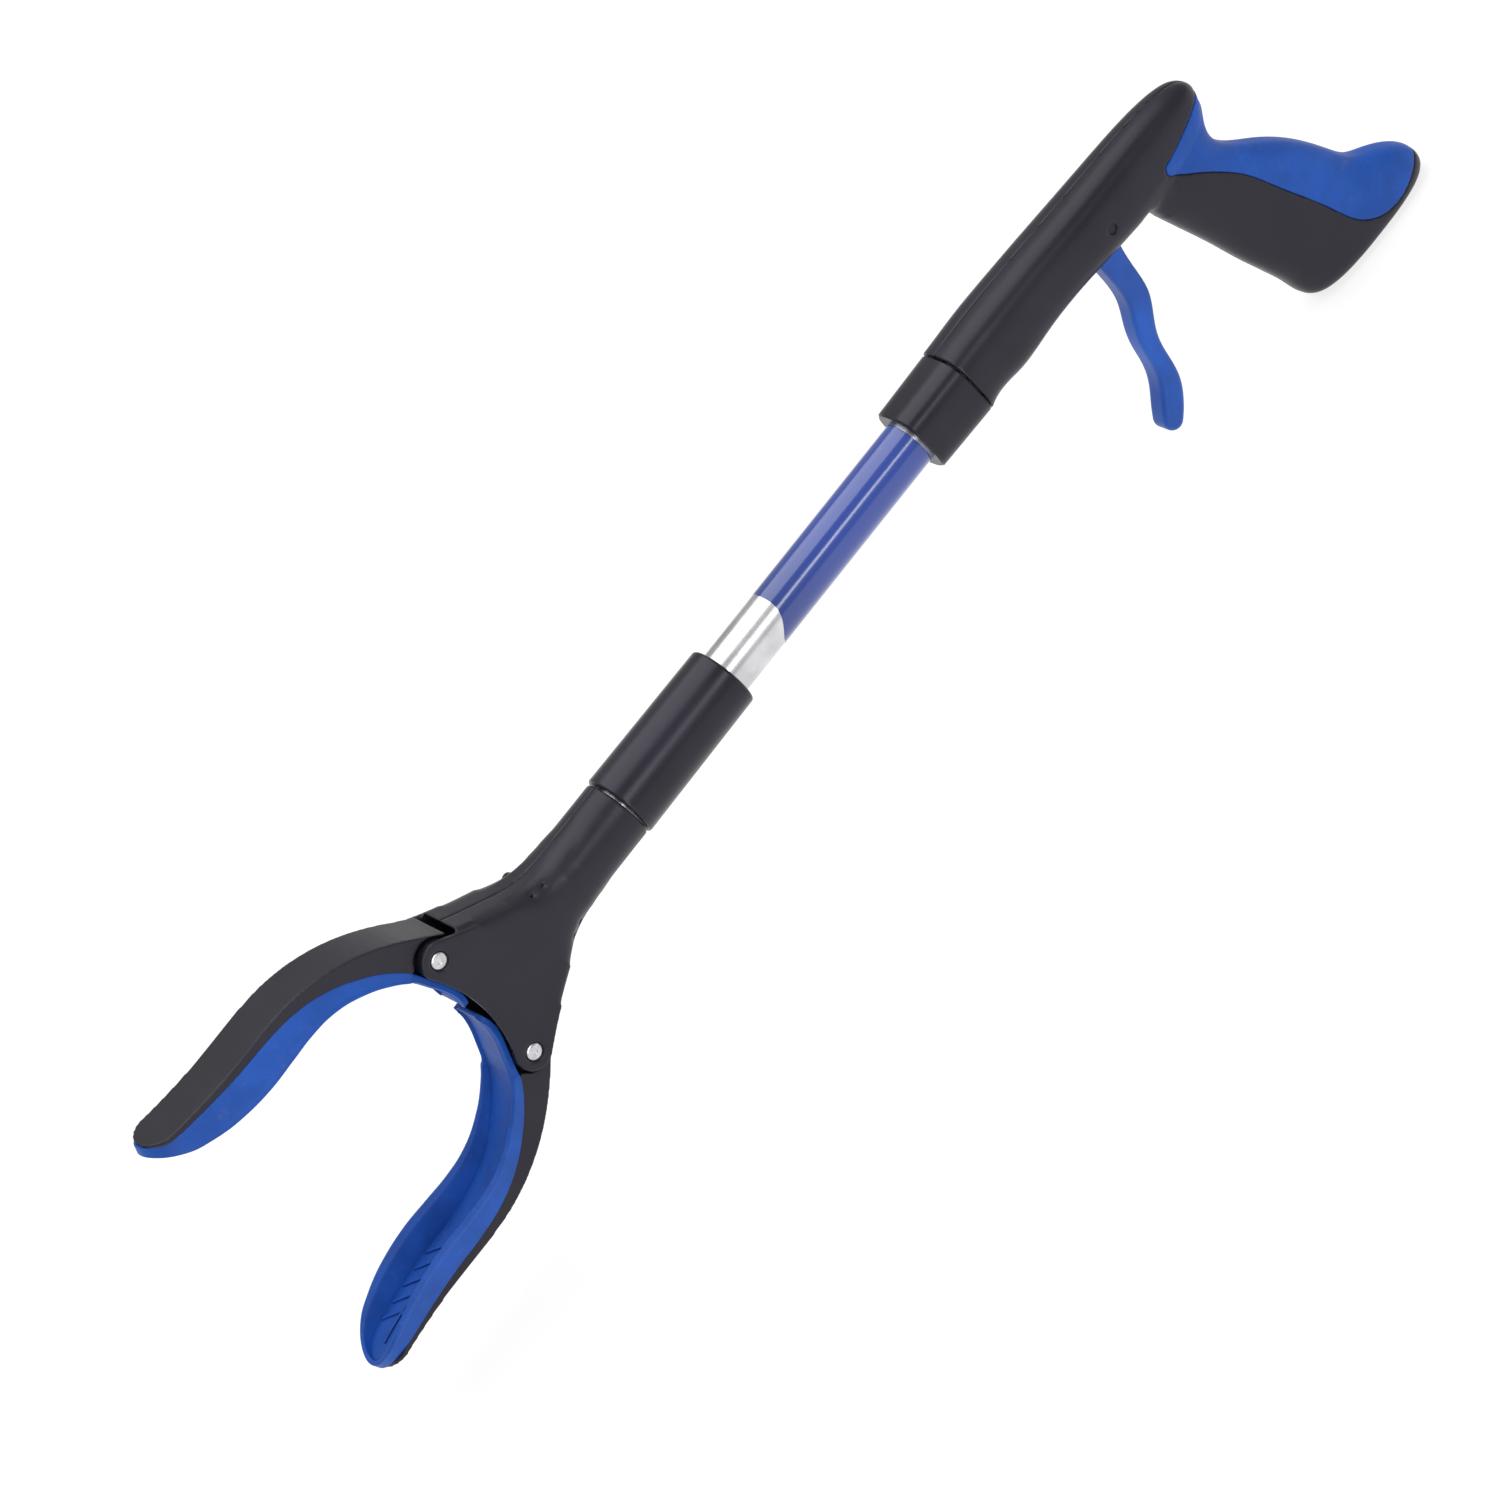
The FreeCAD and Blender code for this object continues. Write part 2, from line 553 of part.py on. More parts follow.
def neck_form():
    """A round neck that splits into a wide low form, which becomes the plates, and a tall narrow core."""
    face = HEAD_PLATE_HALF - 0.15
    plates = [(SLEEVE_FRONT - NECK_GAP, NECK_R, NECK_R, 2.0), (-408, 17.0, 17.3, 2.05), (-422, 16.3, 17.6, 2.25),
              (-436, 15.4, 18.0, 2.8), (-447, 15.8, face, 4.0), (-458, 18.8, face, 6.0), (-467, 23.0, face, 8.0)]
    core = [(-402, 16.2, 16.2, 2.0), (-414, 16.5, 16.3, 2.1), (-426, 16.8, 16.2, 2.5), (-436, 16.9, 15.6, 3.2),
            (-447, 17.5, 14.9, 5.5), (-456, 20.1, HEAD_CORE_HALF - 0.1, 9.0)]
    forms = []
    for stations in (plates, core):
        wires = [section_across_x(x, tall, -tall, wide, power) for x, tall, wide, power in stations]
        forms.append(Part.makeLoft(wires, True))
    return forms


HEAD_SCREW_SPOTS = [(-451.0, 11.2), (-451.0, -11.2)]


def head_pieces():
    plate = head_plate(-HEAD_PLATE_HALF, HEAD_PLATE_HALF)
    form = head_core(0, HEAD_CORE_HALF).fuse(plate)
    for neck in neck_form():
        form = form.fuse(neck)
    cavity_x = -444.0
    mouth = block(-530, -490, -HEAD_CORE_HALF, HEAD_CORE_HALF, -60, 60)
    cavity = head_core(HEAD_WALL, HEAD_CORE_HALF).fuse(mouth)
    cavity = cavity.common(block(-540, cavity_x, -40, 40, -80, 80))
    body = form.cut(cavity)
    for z in (PIVOT_Z, -PIVOT_Z):
        for y0, y1 in [(-HEAD_PLATE_HALF + 2, -LOBE_INNER_HALF), (LOBE_INNER_HALF, HEAD_PLATE_HALF - 2)]:
            body = body.fuse(rod_y(PIVOT_X, z, y0, y1, LOBE_R - 0.1))
    for z in (PIVOT_Z, -PIVOT_Z):
        body = body.cut(rod_y(PIVOT_X, z, -30, 30, RIVET_R))
        body = body.cut(rod_y(PIVOT_X, z, -30, -HEAD_PLATE_HALF + RIVET_HEAD_DEEP, COUNTERBORE_R))
        body = body.cut(rod_y(PIVOT_X, z, HEAD_PLATE_HALF - RIVET_HEAD_DEEP, 30, COUNTERBORE_R))
    bosses = [rod_y(x, z, -HEAD_PLATE_HALF + 1, HEAD_PLATE_HALF - 1, BOSS_R) for x, z in HEAD_SCREW_SPOTS]
    body = body.fuse(bosses)
    body = body.cut(rod_x(TUBE_FRONT - GUIDE_FLANGE, SLEEVE_FRONT + 1, TUBE_R))
    body = body.cut(rod_x(cavity_x - 6, TUBE_FRONT + 1, THROAT_R))
    root_cut = rod_y(PIVOT_X, PIVOT_Z, -HEAD_CORE_HALF, HEAD_CORE_HALF, JAW_ROOT_R + ROOT_GAP)
    body = body.cut([root_cut, mirrored_z(root_cut)]).fuse(lobe_bosses())
    cutters = []
    for x, z in HEAD_SCREW_SPOTS:
        cutters.append(rod_y(x, z, -8, 30, SCREW_R))
        cutters.append(rod_y(x, z, HEAD_PLATE_HALF - SCREW_HEAD_DEEP - 0.6, 30, SCREW_HEAD_R + 0.3))
    cutters.append(tube_pins(TUBE_FRONT + TUBE_PIN_INSET))
    body = body.cut(cutters)
    left = body.common(block(-600, -300, -40, 0, -80, 80))
    right = body.common(block(-600, -300, 0, 40, -80, 80))
    return left, right


def lobe_bosses():
    bosses = []
    for z in (PIVOT_Z, -PIVOT_Z):
        for y0, y1 in [(-HEAD_CORE_HALF - 1, -LOBE_INNER_HALF), (LOBE_INNER_HALF, HEAD_CORE_HALF + 1)]:
            boss = rod_y(PIVOT_X, z, y0, y1, LOBE_R - 0.1)
            bosses.append(boss.cut(rod_y(PIVOT_X, z, -30, 30, RIVET_R)))
    return bosses


def head_screws():
    screws = []
    for x, z in HEAD_SCREW_SPOTS:
        seat = HEAD_PLATE_HALF - SCREW_HEAD_DEEP - 0.6
        head = rod_y(x, z, seat, seat + SCREW_HEAD_DEEP, SCREW_HEAD_R)
        cross = block(x - 1.9, x + 1.9, seat + 0.8, seat + 4, -0.45, 0.45)
        cross = cross.fuse(block(x - 0.45, x + 0.45, seat + 0.8, seat + 4, -1.9, 1.9))
        cross.translate(V(0, 0, z))
        screws.append(rod_y(x, z, -8, seat, SCREW_R).fuse(head).cut(cross))
    return Part.makeCompound(screws)


def jaw_rivet():
    face = HEAD_PLATE_HALF - RIVET_RECESS
    seat = HEAD_PLATE_HALF - RIVET_HEAD_DEEP
    rivet = rod_y(PIVOT_X, PIVOT_Z, -seat, seat, RIVET_R)
    for side in (-1, 1):
        low = min(side * seat, side * face)
        head = rod_y(PIVOT_X, PIVOT_Z, low, low + face - seat, RIVET_HEAD_R)
        rims = [edge for edge in head.Edges if abs(edge.BoundBox.YMin + edge.BoundBox.YMax - 2 * side * face) < 0.01]
        rivet = rivet.fuse(head.makeFillet(1.2, rims))
    return rivet.removeSplitter()


# ---- jaws ---------------------------------------------------------------------------------------
def jaw_outer():
    """Outer face of the upper jaw, from its root at the head to the tip."""
    return spline([(-494.3, 40.2), (-501, 46.2), (-510, 54.5), (-519, 61.8), (-531, 69.6), (-544, 75.8),
                   (-561, 80.9), (-578, 82.8), (-596, 82.8), (-614, 83.2), (-632, 84.6), (-646, 86.4), (-657, 89.0)])


def pad_base():
    """Where pad and jaw meet, carried on under the head as the pad's tongue."""
    return spline([(-509.8, 3.8), (-508.7, 10.7), (-509.8, 18.1), (-513.6, 28.4), (-518.6, 40.2), (-526, 50.2),
                   (-536, 59.6), (-552, 70.0), (-568, 75.6), (-585, 77.8), (-600, 78.2), (-616, 79.4),
                   (-631, 81.2), (-644, 83.2), (-656, 86.4)])


def pad_rim():
    """The free edge of the pad's walls."""
    return spline([(-513.0, 4.0), (-512.0, 10.7), (-513.1, 18.9), (-516.9, 29.6), (-521.5, 37.6), (-530, 46.2),
                   (-541, 54.4), (-554, 60.4), (-566, 62.8), (-580, 63.2), (-594, 62.8), (-608, 63.4),
                   (-622, 65.6), (-636, 70.0), (-648, 75.4), (-658.5, 83.0)])


def jaw_profile():
    outer = jaw_outer()
    base = pad_base()
    start = outer.StartPoint
    end = outer.EndPoint
    inner_start = base.value(base.parameter(V(-518.6, 0, 40.2)))
    inner = base.toShape(base.parameter(inner_start), base.LastParameter)
    tip = Part.LineSegment(base.EndPoint, end).toShape()
    root = Part.LineSegment(start, inner_start).toShape()
    return prism([outer.toShape(), inner, tip, root], -JAW_HALF_WIDTH, JAW_HALF_WIDTH)


def plan_form(root_half, rim_half, tip_x, tall):
    """Plan view of a jaw: half widths at the root and near the tip, with a round end."""
    blend = 46.0
    front = tip_x + rim_half * 1.15
    root_x = PIVOT_X + 30
    side = [V(root_x, root_half, 0), V(PIVOT_X - 26, root_half, 0)]
    wide = V(PIVOT_X - 26 - blend, rim_half, 0)
    straight = V(front, rim_half, 0)
    tip = V(tip_x, 0, 0)
    corner = V(tip_x + rim_half * 0.26, rim_half * 0.72, 0)
    edges = [Part.LineSegment(side[0], side[1]).toShape(), Part.LineSegment(side[1], wide).toShape(),
             Part.LineSegment(wide, straight).toShape()]
    cap = Part.BSplineCurve()
    cap.interpolate([straight, corner, tip, V(corner.x, -corner.y, 0), V(front, -rim_half, 0)])
    edges.append(cap.toShape())
    edges.append(Part.LineSegment(V(front, -rim_half, 0), V(wide.x, -rim_half, 0)).toShape())
    edges.append(Part.LineSegment(V(wide.x, -rim_half, 0), V(side[1].x, -root_half, 0)).toShape())
    edges.append(Part.LineSegment(V(side[1].x, -root_half, 0), V(root_x, -root_half, 0)).toShape())
    edges.append(Part.LineSegment(V(root_x, -root_half, 0), side[0]).toShape())
    face = Part.Face(Part.Wire(Part.__sortEdges__(edges)))
    return face.extrude(V(0, 0, tall))


def jaw_arm(y0, y1):
    pin_x = PIVOT_X + ARM_X
    return capsule(PIVOT_X, PIVOT_Z, pin_x, 0, ARM_WIDTH / 2, y0, y1)


def jaw_shell(arm_side):
    shell = jaw_profile().common(plan_form(JAW_HALF_WIDTH, JAW_HALF_WIDTH, -657.0, 120))
    for y0, y1 in [(-20, -JAW_LOBE_HALF), (JAW_LOBE_HALF, 20)]:
        shell = shell.cut(rod_y(PIVOT_X, PIVOT_Z, y0, y1, JAW_RECESS_R))
    inner = CROSSHEAD_HALF + 0.4
    low = min(arm_side * inner, arm_side * (inner + ARM_THICK))
    arm = jaw_arm(low, low + ARM_THICK)
    lobe = rod_y(PIVOT_X, PIVOT_Z, -JAW_LOBE_HALF, JAW_LOBE_HALF, JAW_LOBE_R)
    shell = shell.fuse([lobe, arm]).removeSplitter()
    shell = shell.cut(rod_y(PIVOT_X, PIVOT_Z, -20, 20, JAW_BUSH_R))
    return shell.cut(rod_y(PIVOT_X + ARM_X, 0, -20, 20, CAM_PIN_R))


def cam_pin(arm_side):
    inner = 0.1
    outer = CROSSHEAD_HALF + 0.4 + ARM_THICK
    low = min(arm_side * inner, arm_side * outer)
    return rod_y(PIVOT_X + ARM_X, 0, low, low + outer - inner, CAM_PIN_R)


def jaw_bush():
    bush = rod_y(PIVOT_X, PIVOT_Z, -JAW_LOBE_HALF, JAW_LOBE_HALF, JAW_BUSH_R)
    return bush.cut(rod_y(PIVOT_X, PIVOT_Z, -20, 20, RIVET_R + RUNNING_GAP))


def offset_curve(curve, distance, count=26):
    """A curve beside another, on the side towards the shaft's axis and the jaws' gap."""
    points = []
    first = curve.FirstParameter
    last = curve.LastParameter
    for step in range(count + 1):
        at = first + (last - first) * step / count
        tangent = curve.tangent(at)[0]
        normal = V(tangent.z, 0, -tangent.x)
        points.append(curve.value(at) - normal * distance)
    shifted = Part.BSplineCurve()
    shifted.interpolate(points)
    return shifted


def jaw_pad():
    base = pad_base()
    rim = pad_rim()
    closing = [Part.LineSegment(base.StartPoint, rim.StartPoint).toShape(),
               Part.LineSegment(base.EndPoint, rim.EndPoint).toShape()]
    side = prism([base.toShape(), rim.toShape()] + closing, -30, 30)
    outline = plan_form(PAD_ROOT_HALF_WIDTH, PAD_RIM_HALF_WIDTH, -660.5, 120)
    tongue_zone = block(-530, -490, -TONGUE_HALF_WIDTH, TONGUE_HALF_WIDTH, -5, 38)
    main_zone = block(-700, -490, -40, 40, 38, 130)
    cup = side.common(outline).common(tongue_zone.fuse(main_zone))
    floor = offset_curve(base, PAD_FLOOR)
    hollow_edges = [floor.toShape()]
    low = V(-500, 0, -20)
    far = V(-700, 0, -20)
    hollow_edges.append(Part.LineSegment(floor.StartPoint, low).toShape())
    hollow_edges.append(Part.LineSegment(low, far).toShape())
    hollow_edges.append(Part.LineSegment(far, V(-700, 0, floor.EndPoint.z)).toShape())
    hollow_edges.append(Part.LineSegment(V(-700, 0, floor.EndPoint.z), floor.EndPoint).toShape())
    hollow = prism(hollow_edges, -30, 30)
    inside = plan_form(PAD_ROOT_HALF_WIDTH - PAD_WALL, PAD_RIM_HALF_WIDTH - PAD_WALL, -660.5 + PAD_WALL, 120)
    inside = inside.common(block(-700, -518, -40, 40, 40, 130))
    return cup.cut(hollow.common(inside))


# ---- build --------------------------------------------------------------------------------------
def main():
    os.makedirs("parts", exist_ok=True)
    left, right, pad, outer = handle_pieces()
    save("handle_shell_left", left)
    save("handle_shell_right", right)
    save("grip_pad", pad)
    save("handle_screws", handle_screws(outer))
    save("handle_collar", handle_collar())
    save("trigger_pivot_pin", rod_y(TRIGGER_X, TRIGGER_Z, -15.2, 15.2, TRIGGER_PIN_R))
    save("trigger", trigger())
    save("trigger_bush", trigger_bush())

    save("shaft_tube", shaft_tube())
    save("tube_label", tube_label())
    save("head_sleeve", head_sleeve())
    save("rod_guide_handle", rod_guide(TUBE_REAR, -1))
    save("rod_guide_head", rod_guide(TUBE_FRONT, 1))
    save("tube_pins_handle", tube_pins(TUBE_REAR - TUBE_PIN_INSET))
    save("tube_pins_head", tube_pins(TUBE_FRONT + TUBE_PIN_INSET))

    save("push_rod", push_rod())
    save("rod_yoke", rod_yoke())
    save("yoke_pin", yoke_pin())
    save("yoke_cross_pin", rod_y(YOKE_FRONT + 7, 0, -ROD_R - 3, ROD_R + 3, CROSS_PIN_R))
    save("crosshead", crosshead())
    save("crosshead_cross_pin", rod_y(CROSSHEAD_BOSS_REAR - 7, 0, -ROD_R - 3, ROD_R + 3, CROSS_PIN_R))
    save("return_spring", return_spring(TUBE_REAR + GUIDE_FLANGE, YOKE_FRONT - 1.0))
    washer = rod_x(YOKE_FRONT - 1.0, YOKE_FRONT, SPRING_MEAN_R + 1.6)
    save("spring_washer", washer.cut(rod_x(YOKE_FRONT - 2, YOKE_FRONT + 1, ROD_R + RUNNING_GAP)))

    head_left, head_right = head_pieces()
    save("head_shell_left", head_left)
    save("head_shell_right", head_right)
    save("head_screws", head_screws())
    rivet = jaw_rivet()
    save("upper_jaw_rivet", rivet)
    save("lower_jaw_rivet", mirrored_z(rivet))

    save("upper_jaw_shell", jaw_shell(-1))
    save("lower_jaw_shell", mirrored_z(jaw_shell(1)))
    bush = jaw_bush()
    save("upper_jaw_bush", bush)
    save("lower_jaw_bush", mirrored_z(bush))
    save("upper_jaw_cam_pin", cam_pin(-1))
    save("lower_jaw_cam_pin", cam_pin(1))
    soft = jaw_pad()
    save("upper_jaw_pad", soft)
    save("lower_jaw_pad", mirrored_z(soft))


main()
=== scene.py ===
"""Reacher grabber, dressed for showing: moulded halves, rubber cups, bright tube and its studio."""
import math

import bpy
from bpy.props import FloatProperty, FloatVectorProperty, IntProperty, PointerProperty
from mathutils import Matrix, Vector


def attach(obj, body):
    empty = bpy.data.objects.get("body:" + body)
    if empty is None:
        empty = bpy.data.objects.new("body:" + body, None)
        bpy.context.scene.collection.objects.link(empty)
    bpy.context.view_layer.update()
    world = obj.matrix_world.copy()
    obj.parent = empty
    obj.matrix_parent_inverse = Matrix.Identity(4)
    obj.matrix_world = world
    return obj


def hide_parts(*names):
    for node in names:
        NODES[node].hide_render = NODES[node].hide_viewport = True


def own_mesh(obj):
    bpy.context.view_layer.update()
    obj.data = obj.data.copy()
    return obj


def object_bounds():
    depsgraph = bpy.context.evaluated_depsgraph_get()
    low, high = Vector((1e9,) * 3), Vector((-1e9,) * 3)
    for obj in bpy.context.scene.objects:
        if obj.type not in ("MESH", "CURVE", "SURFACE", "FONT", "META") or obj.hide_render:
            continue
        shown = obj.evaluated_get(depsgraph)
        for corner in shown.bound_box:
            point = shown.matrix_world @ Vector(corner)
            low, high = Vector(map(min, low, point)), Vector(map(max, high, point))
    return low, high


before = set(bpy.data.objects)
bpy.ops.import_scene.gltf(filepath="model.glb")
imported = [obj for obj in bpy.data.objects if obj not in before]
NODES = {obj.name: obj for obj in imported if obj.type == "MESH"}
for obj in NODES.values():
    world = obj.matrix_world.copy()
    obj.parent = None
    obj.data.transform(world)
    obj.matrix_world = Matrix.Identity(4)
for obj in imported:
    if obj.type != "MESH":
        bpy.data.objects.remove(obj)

bl_info = {
    "name": "Reacher Grabber",
    "version": (1, 0, 0),
    "blender": (4, 5, 0),
    "location": "View3D > Sidebar > Reacher",
    "description": "Builds the outside of a reacher grabber round its fixed frame",
    "category": "Object",
}

CAD_BOX = [list(corner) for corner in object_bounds()]
MM = 0.001
SIDES = ("upper", "lower")

# ---- places on the frame ----------------------------------------------------------------------------
PIVOT_X = -0.506
PIVOT_Z = 0.0355
RIVET_HEAD = 0.0044
RIVET_FACE = 0.0174
# rings of a rivet's head from its edge to its middle: width and rise
RIVET_DOME = ((0.5, 0.45), (0.7, 0.35), (0.9, 0.15), (0.9, -0.05), (0.25, -0.35))
LABEL_FRONT = -0.289
LABEL_MIDDLE = -0.23

# ---- the camera's directions, the point it looks at and how far off it stands ----------------------
VIEW_RIGHT = Vector((0.61288, -0.52337, -0.59198))
VIEW_UP = Vector((0.77124, 0.23321, 0.59228))
VIEW_TOWARDS = Vector((-0.17193, -0.81957, 0.54658))
VIEW_TARGET = Vector((-0.33361, -0.00426, -0.03395))
VIEW_DISTANCE = 4.3
FLOOR_GAP = 0.0015


# ---- sizes and colours that a user would change ---------------------------------------------------
def length_property(name, text, default_mm):
    return FloatProperty(name=name, description=text, default=default_mm * MM, min=0.0, unit="LENGTH",
                         precision=5)


def colour_property(name, text, default):
    return FloatVectorProperty(name=name, description=text, default=default, size=3, min=0.0, max=1.0,
                               subtype="COLOR")


class ReacherSizes(bpy.types.PropertyGroup):
    shell_grain: length_property("Shell mesh size", "Mesh size of the moulded shells", 0.8)
    fine_grain: length_property("Fine mesh size", "Mesh size of the trigger and the jaws", 0.6)
    cup_wall: length_property("Cup wall", "Thickness of the rubber cup's wall", 2.4)
    rib_height: length_property("Rib height", "How far the ribs stand off the cup's floor", 1.1)
    rib_count: IntProperty(name="Ribs", description="V-shaped ribs in each cup", default=5, min=0, max=9)


class ReacherColours(bpy.types.PropertyGroup):
    shell: colour_property("Shell", "Moulded shells", (0.0105, 0.0095, 0.0145))
    jaw: colour_property("Jaw", "Moulded jaws", (0.0110, 0.0100, 0.0148))
    rubber: colour_property("Rubber", "Grip pad and cups", (0.009, 0.070, 0.35))
    trigger: colour_property("Trigger", "Trigger blade", (0.009, 0.076, 0.38))
    label: colour_property("Label", "Glossy film on the tube", (0.010, 0.040, 0.26))


# ---- shader maths -----------------------------------------------------------------------------------
class Signal:
    """A socket that takes part in sums: an expression adds its Math nodes."""

    def __init__(self, recipe, socket):
        self.recipe = recipe
        self.socket = socket

    def _math(self, operation, first, second):
        return self.recipe.node("ShaderNodeMath", {"operation": operation}, {0: first, 1: second})

    def __add__(self, other):
        return self._math("ADD", self, other)

    def __radd__(self, other):
        return self._math("ADD", other, self)

    def __sub__(self, other):
        return self._math("SUBTRACT", self, other)

    def __rsub__(self, other):
        return self._math("SUBTRACT", other, self)

    def __mul__(self, other):
        return self._math("MULTIPLY", self, other)

    def __rmul__(self, other):
        return self._math("MULTIPLY", other, self)

    def __lt__(self, other):
        return self._math("LESS_THAN", self, other)

    def smooth_between(self, low, high):
        settings = {"interpolation_type": "SMOOTHSTEP"}
        inputs = {"Value": self, "From Min": low, "From Max": high}
        return self.recipe.node("ShaderNodeMapRange", settings, inputs)


class Recipe:
    """One material and the nodes that make it."""

    def __init__(self, name):
        self.material = bpy.data.materials.new(name)
        self.material.use_nodes = True
        self.tree = self.material.node_tree
        self.tree.nodes.clear()
        self.shader = self.tree.nodes.new("ShaderNodeBsdfPrincipled")
        output = self.tree.nodes.new("ShaderNodeOutputMaterial")
        self.tree.links.new(self.shader.outputs["BSDF"], output.inputs["Surface"])

    def node(self, kind, settings=None, inputs=None, output=0):
        made = self.tree.nodes.new(kind)
        for key, value in (settings or {}).items():
            setattr(made, key, value)
        for key, value in (inputs or {}).items():
            self.feed(made.inputs[key], value)
        return Signal(self, made.outputs[output])

    def feed(self, socket, value):
        if isinstance(value, Signal):
            self.tree.links.new(value.socket, socket)
        elif hasattr(socket.default_value, "__len__") and len(value) == 3 and len(socket.default_value) == 4:
            socket.default_value = (*value, 1.0)
        else:
            socket.default_value = value

    def set(self, **values):
        for key, value in values.items():
            self.feed(self.shader.inputs[key.replace("_", " ")], value)

    def place(self, scale=(1.0, 1.0, 1.0)):
        where = self.node("ShaderNodeTexCoord", output="Object")
        return self.node("ShaderNodeMapping", {}, {"Vector": where, "Scale": scale})

    def axis(self, name):
        where = self.node("ShaderNodeTexCoord", output="Object")
        return self.node("ShaderNodeSeparateXYZ", {}, {0: where}, output=name)

    def noise(self, size_mm, detail=2.0, roughness=0.5, scale=(1.0, 1.0, 1.0)):
        inputs = {"Vector": self.place(scale), "Scale": 1.0 / (size_mm * MM), "Detail": detail,
                  "Roughness": roughness}
        return self.node("ShaderNodeTexNoise", {}, inputs)

    def cells(self, size_mm):
        return self.node("ShaderNodeTexVoronoi", {}, {"Vector": self.place(), "Scale": 1.0 / (size_mm * MM)})

    def mix_colours(self, share, first, second):
        """The colour sockets of a Mix node are its inputs 6 and 7 and its output 2."""
        inputs = {0: share, 6: first, 7: second}
        return self.node("ShaderNodeMix", {"data_type": "RGBA"}, inputs, output=2)

    def relief(self, height, depth_mm):
        inputs = {"Height": height, "Distance": depth_mm * MM, "Strength": 1.0}
        return self.node("ShaderNodeBump", {}, inputs)


def shade(colour, factor):
    return tuple(min(1.0, channel * factor) for channel in colour)


def moulded_plastic(name, colour, roughness, grain_mm=0.35, grain_depth=0.02, gloss=0.36):
    """Black or coloured moulding: fine spark-eroded grain, slow flow marks and faint handling wear."""
    recipe = Recipe(name)
    flow = recipe.noise(38.0, 3.0, 0.55)
    grain = recipe.noise(grain_mm, 2.0, 0.6)
    scuff = recipe.noise(4.0, 4.0, 0.65, (0.25, 1.0, 1.0)).smooth_between(0.62, 0.78)
    body = recipe.mix_colours(flow.smooth_between(0.3, 0.7), shade(colour, 0.82), shade(colour, 1.2))
    worn = recipe.mix_colours(scuff * 0.35, body, shade(colour, 2.4))
    recipe.set(Base_Color=worn, Roughness=roughness + (flow - 0.5) * 0.12 + scuff * 0.1,
               Normal=recipe.relief(grain, grain_depth))
    recipe.set(Specular_IOR_Level=gloss, IOR=1.5, Specular_Tint=(0.9, 0.86, 1.0))
    return recipe.material


def soft_rubber(name, colour, roughness):
    """Silky rubber: cloudy bloom, fine orange-peel and dust-dulled patches."""
    recipe = Recipe(name)
    cloud = recipe.noise(22.0, 3.0, 0.6)
    peel = recipe.noise(0.7, 2.0, 0.5)
    bloom = recipe.noise(7.0, 4.0, 0.7).smooth_between(0.55, 0.8)
    body = recipe.mix_colours(cloud.smooth_between(0.3, 0.72), shade(colour, 0.86), shade(colour, 1.14))
    dusty = recipe.mix_colours(bloom * 0.18, body, tuple(channel * 0.6 + 0.12 for channel in colour))
    recipe.set(Base_Color=dusty, Roughness=roughness + (cloud - 0.5) * 0.15,
               Normal=recipe.relief(peel, 0.03))
    recipe.set(Specular_IOR_Level=0.3, Specular_Tint=(0.75, 0.78, 1.0))
    return recipe.material


def drawn_aluminium(name):
    """Bright drawn tube: long fine lines along the shaft and faint cloudy oxide."""
    recipe = Recipe(name)
    lines = recipe.noise(0.16, 3.0, 0.6, (0.012, 1.0, 1.0))
    cloud = recipe.noise(16.0, 3.0, 0.5)
    colour = recipe.mix_colours(cloud.smooth_between(0.35, 0.7), (0.56, 0.56, 0.58), (0.68, 0.68, 0.70))
    recipe.set(Base_Color=colour, Roughness=0.2 + lines * 0.14 + (cloud - 0.5) * 0.06,
               Normal=recipe.relief(lines, 0.006))
    recipe.set(Metallic=1.0)
    return recipe.material


def plated_steel(name, colour=(0.62, 0.62, 0.64), roughness=0.24):
    """Plated wire, pins and rivets: slight clouding and fine pits."""
    recipe = Recipe(name)
    cloud = recipe.noise(3.0, 3.0, 0.6)
    pits = recipe.noise(0.25, 3.0, 0.6)
    tint = recipe.mix_colours(cloud.smooth_between(0.3, 0.7), shade(colour, 0.85), shade(colour, 1.12))
    recipe.set(Base_Color=tint, Roughness=roughness + (pits - 0.5) * 0.12, Normal=recipe.relief(pits, 0.01))
    recipe.set(Metallic=1.0)
    return recipe.material


def label_film(name, colour):
    """Glossy printed film: two depths of blue in soft bands, fine dot screen, under a clear coat."""
    recipe = Recipe(name)
    cloud = recipe.noise(30.0, 2.0, 0.5)
    along = recipe.axis("X")
    fade = along.smooth_between(LABEL_FRONT, LABEL_MIDDLE)
    dots = recipe.cells(0.55)
    body = recipe.mix_colours(fade, shade(colour, 0.78), shade(colour, 1.08))
    screened = recipe.mix_colours((dots < 0.28) * 0.12, body, shade(colour, 1.6))
    recipe.set(Base_Color=screened, Roughness=0.22 + (cloud - 0.5) * 0.05,
               Normal=recipe.relief(cloud, 0.05))
    recipe.set(Coat_Roughness=0.06, Coat_Weight=0.8)
    return recipe.material


# ---- modelling helpers ------------------------------------------------------------------------------
def clear_selection():
    if bpy.context.object and bpy.context.object.mode != "OBJECT":
        bpy.ops.object.mode_set(mode="OBJECT")
    bpy.ops.object.select_all(action="DESELECT")


def pick(piece):
    clear_selection()
    piece.select_set(True)
    bpy.context.view_layer.objects.active = piece
    return piece


def apply_modifier(piece, kind, **settings):
    pick(piece)
    modifier = piece.modifiers.new(kind.title(), kind)
    for key, value in settings.items():
        setattr(modifier, key, value)
    bpy.ops.object.modifier_apply(modifier=modifier.name)
    return piece


